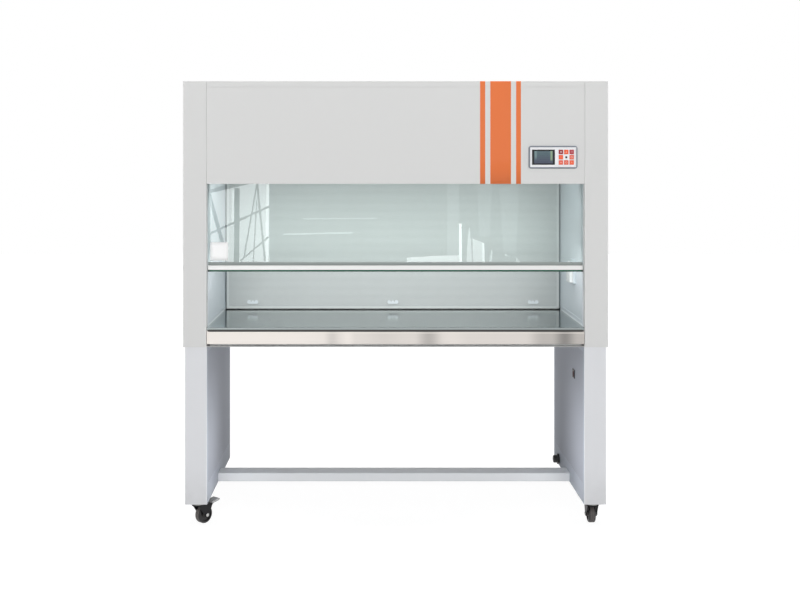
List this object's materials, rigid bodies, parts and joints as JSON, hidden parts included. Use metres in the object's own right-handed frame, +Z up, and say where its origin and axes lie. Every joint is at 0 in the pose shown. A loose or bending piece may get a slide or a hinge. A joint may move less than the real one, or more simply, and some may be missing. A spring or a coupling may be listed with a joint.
{
  "type": "horizontal laminar flow clean bench",
  "caption": "Castored clean bench with a steel worktop, sliding glass sash, perforated rear diffuser, filter and twin-wheel blower, and a small key panel on the fascia.",
  "frame": {"origin": "on the floor under the middle of the bench's outline", "axes": "+Z up, -Y towards the worker, +X to the worker's right"},
  "size_m": [1.5, 0.72, 1.58],
  "materials": {
    "painted_shell": "fine-textured white powder coat",
    "painted_leg": "fine-textured light grey powder coat",
    "painted_liner": "smooth blue-grey coat",
    "diffuser": "perforated sheet, satin coat",
    "worktop_steel": "brushed along the bench",
    "plain_steel": "mill finish",
    "zinc_steel": "bright zinc",
    "caster_black": "black coat",
    "caster_tyre": "matt black",
    "pedal_grey": "satin",
    "filter_frame": "extruded, satin",
    "filter_media": "glass-fibre paper",
    "prefilter_pad": "non-woven pad",
    "motor_housing": "painted",
    "sash_glass": "clear, green edge",
    "sash_aluminium": "satin anodised",
    "guide_plastic": "smooth",
    "weight_iron": "as cast",
    "cable_steel": "stranded",
    "bezel_grey": "satin",
    "overlay_white": "satin",
    "display_dark": "polished",
    "key_orange": "satin",
    "key_red": "satin",
    "board_green": "lacquered",
    "tube_white": "frosted",
    "holder_white": "smooth",
    "socket_white": "gloss",
    "fitting_black": "satin",
    "rocker_red": "gloss",
    "knob_white": "gloss"
  },
  "bodies": {
    "bench": {"left_leg": "painted_leg", "right_leg": "painted_leg", "leg_inner_panels": "painted_leg", "stretcher_bar": "painted_leg", "stand_bolts": "zinc_steel", "caster_plates": "zinc_steel", "mains_fittings": "fitting_black", "left_side_shell": "painted_shell", "right_side_shell": "painted_shell", "top_cover": "painted_shell", "rear_cover": "painted_shell", "fascia": "painted_shell", "side_liners": "painted_liner", "ceiling_panel": "painted_liner", "fan_deck": "plain_steel", "worktop_frame": "plain_steel", "worktop": "worktop_steel", "diffuser": "diffuser", "hepa_frame": "filter_frame", "hepa_media": "filter_media", "wing_screws": "knob_white", "prefilter": "prefilter_pad", "blower_scrolls": "plain_steel", "blower_motor": "motor_housing", "sash_guides": "guide_plastic", "shaft_brackets": "plain_steel", "control_bezel": "bezel_grey", "keypad_overlay": "overlay_white", "display_window": "display_dark", "control_board": "board_green", "lamp_tubes": "tube_white", "lamp_holders": "holder_white", "socket_plate": "socket_white"},
    "sash": {"sash_glass": "sash_glass", "sash_handle": "sash_aluminium", "sash_front_cables": "cable_steel"},
    "counterweights": {"sash_weights": "weight_iron", "sash_rear_cables": "cable_steel"},
    "pulleys": {"pulley_shaft": "plain_steel"},
    "blower_rotor": {"blower_impellers": "plain_steel"},
    "flap": {"socket_flap": "socket_white"},
    "rocker": {"power_rocker": "rocker_red"},
    "front_left_swivel": {"front_left_fork": "caster_black"},
    "front_left_roller": {"front_left_wheel": "caster_tyre"},
    "front_left_brake": {"front_left_pedal": "pedal_grey"},
    "front_right_swivel": {"front_right_fork": "caster_black"},
    "front_right_roller": {"front_right_wheel": "caster_tyre"},
    "front_right_brake": {"front_right_pedal": "pedal_grey"},
    "rear_left_swivel": {"rear_left_fork": "caster_black"},
    "rear_left_roller": {"rear_left_wheel": "caster_tyre"},
    "rear_right_swivel": {"rear_right_fork": "caster_black"},
    "rear_right_roller": {"rear_right_wheel": "caster_tyre"},
    "fan_key_cap": {"fan_key": "key_red"},
    "lamp_key_cap": {"lamp_key": "key_orange"},
    "uv_key_cap": {"uv_key": "key_red"},
    "menu_key_cap": {"menu_key": "key_orange"},
    "socket_key_cap": {"socket_key": "key_orange"},
    "minus_key_cap": {"minus_key": "key_orange"},
    "set_key_cap": {"set_key": "key_orange"},
    "plus_key_cap": {"plus_key": "key_orange"}
  },
  "joints": [
    {"name": "sash_slide", "type": "slide", "parent": "bench", "child": "sash", "axis": [0, 0, 1], "range_m": [-0.189, 0.106], "deforming": ["sash_front_cables"]},
    {"name": "counterweight_slide", "type": "slide", "parent": "bench", "child": "counterweights", "axis": [0, 0, 1], "range_m": [-0.107, 0.19], "deforming": ["sash_rear_cables"]},
    {"name": "pulley_spin", "type": "hinge", "parent": "bench", "child": "pulleys", "pos_m": [0, -0.2905, 1.54], "axis": [1, 0, 0], "range_deg": [-250, 440]},
    {"name": "blower_spin", "type": "hinge", "parent": "bench", "child": "blower_rotor", "pos_m": [0, 0.2, 1.415], "axis": [1, 0, 0], "continuous": true},
    {"name": "flap_hinge", "type": "hinge", "parent": "bench", "child": "flap", "pos_m": [0.652, -0.138, 0.923], "axis": [0, 1, 0], "range_deg": [0, 100]},
    {"name": "rocker_hinge", "type": "hinge", "parent": "bench", "child": "rocker", "pos_m": [0.674, -0.15, 0.512], "axis": [0, 0, 1], "range_deg": [0, 18]},
    {"name": "front_left_swivel_turn", "type": "hinge", "parent": "bench", "child": "front_left_swivel", "pos_m": [-0.705, -0.297, 0.07], "axis": [0, 0, 1], "continuous": true},
    {"name": "front_left_wheel_roll", "type": "hinge", "parent": "front_left_swivel", "child": "front_left_roller", "pos_m": [-0.68794, -0.27738, 0.0315], "axis": [0.7547, -0.6561, 0], "continuous": true},
    {"name": "front_left_brake_press", "type": "hinge", "parent": "front_left_swivel", "child": "front_left_brake", "pos_m": [-0.67548, -0.26304, 0.066], "axis": [0.7547, -0.6561, 0], "range_deg": [-10, 0]},
    {"name": "front_right_swivel_turn", "type": "hinge", "parent": "bench", "child": "front_right_swivel", "pos_m": [0.705, -0.297, 0.07], "axis": [0, 0, 1], "continuous": true},
    {"name": "front_right_wheel_roll", "type": "hinge", "parent": "front_right_swivel", "child": "front_right_roller", "pos_m": [0.705, -0.271, 0.0315], "axis": [1, 0, 0], "continuous": true},
    {"name": "front_right_brake_press", "type": "hinge", "parent": "front_right_swivel", "child": "front_right_brake", "pos_m": [0.705, -0.252, 0.066], "axis": [1, 0, 0], "range_deg": [-10, 0]},
    {"name": "rear_left_swivel_turn", "type": "hinge", "parent": "bench", "child": "rear_left_swivel", "pos_m": [-0.705, 0.238, 0.07], "axis": [0, 0, 1], "continuous": true},
    {"name": "rear_left_wheel_roll", "type": "hinge", "parent": "rear_left_swivel", "child": "rear_left_roller", "pos_m": [-0.70727, 0.2639, 0.0315], "axis": [0.9962, 0.0872, 0], "continuous": true},
    {"name": "rear_right_swivel_turn", "type": "hinge", "parent": "bench", "child": "rear_right_swivel", "pos_m": [0.705, 0.238, 0.07], "axis": [0, 0, 1], "continuous": true},
    {"name": "rear_right_wheel_roll", "type": "hinge", "parent": "rear_right_swivel", "child": "rear_right_roller", "pos_m": [0.71041, 0.26343, 0.0315], "axis": [0.9781, -0.2079, 0], "continuous": true},
    {"name": "fan_key_press", "type": "slide", "parent": "bench", "child": "fan_key_cap", "axis": [0, 1, 0], "range_m": [0, 0.0008], "stiffness_N_per_m": 600},
    {"name": "lamp_key_press", "type": "slide", "parent": "bench", "child": "lamp_key_cap", "axis": [0, 1, 0], "range_m": [0, 0.0008], "stiffness_N_per_m": 600},
    {"name": "uv_key_press", "type": "slide", "parent": "bench", "child": "uv_key_cap", "axis": [0, 1, 0], "range_m": [0, 0.0008], "stiffness_N_per_m": 600},
    {"name": "menu_key_press", "type": "slide", "parent": "bench", "child": "menu_key_cap", "axis": [0, 1, 0], "range_m": [0, 0.0008], "stiffness_N_per_m": 600},
    {"name": "socket_key_press", "type": "slide", "parent": "bench", "child": "socket_key_cap", "axis": [0, 1, 0], "range_m": [0, 0.0008], "stiffness_N_per_m": 600},
    {"name": "minus_key_press", "type": "slide", "parent": "bench", "child": "minus_key_cap", "axis": [0, 1, 0], "range_m": [0, 0.0008], "stiffness_N_per_m": 600},
    {"name": "set_key_press", "type": "slide", "parent": "bench", "child": "set_key_cap", "axis": [0, 1, 0], "range_m": [0, 0.0008], "stiffness_N_per_m": 600},
    {"name": "plus_key_press", "type": "slide", "parent": "bench", "child": "plus_key_cap", "axis": [0, 1, 0], "range_m": [0, 0.0008], "stiffness_N_per_m": 600}
  ],
  "couplings": [
    {"joint": "counterweight_slide", "follows": "sash_slide", "ratio": -1},
    {"joint": "pulley_spin", "follows": "sash_slide", "rad_per_m": -40}
  ]
}
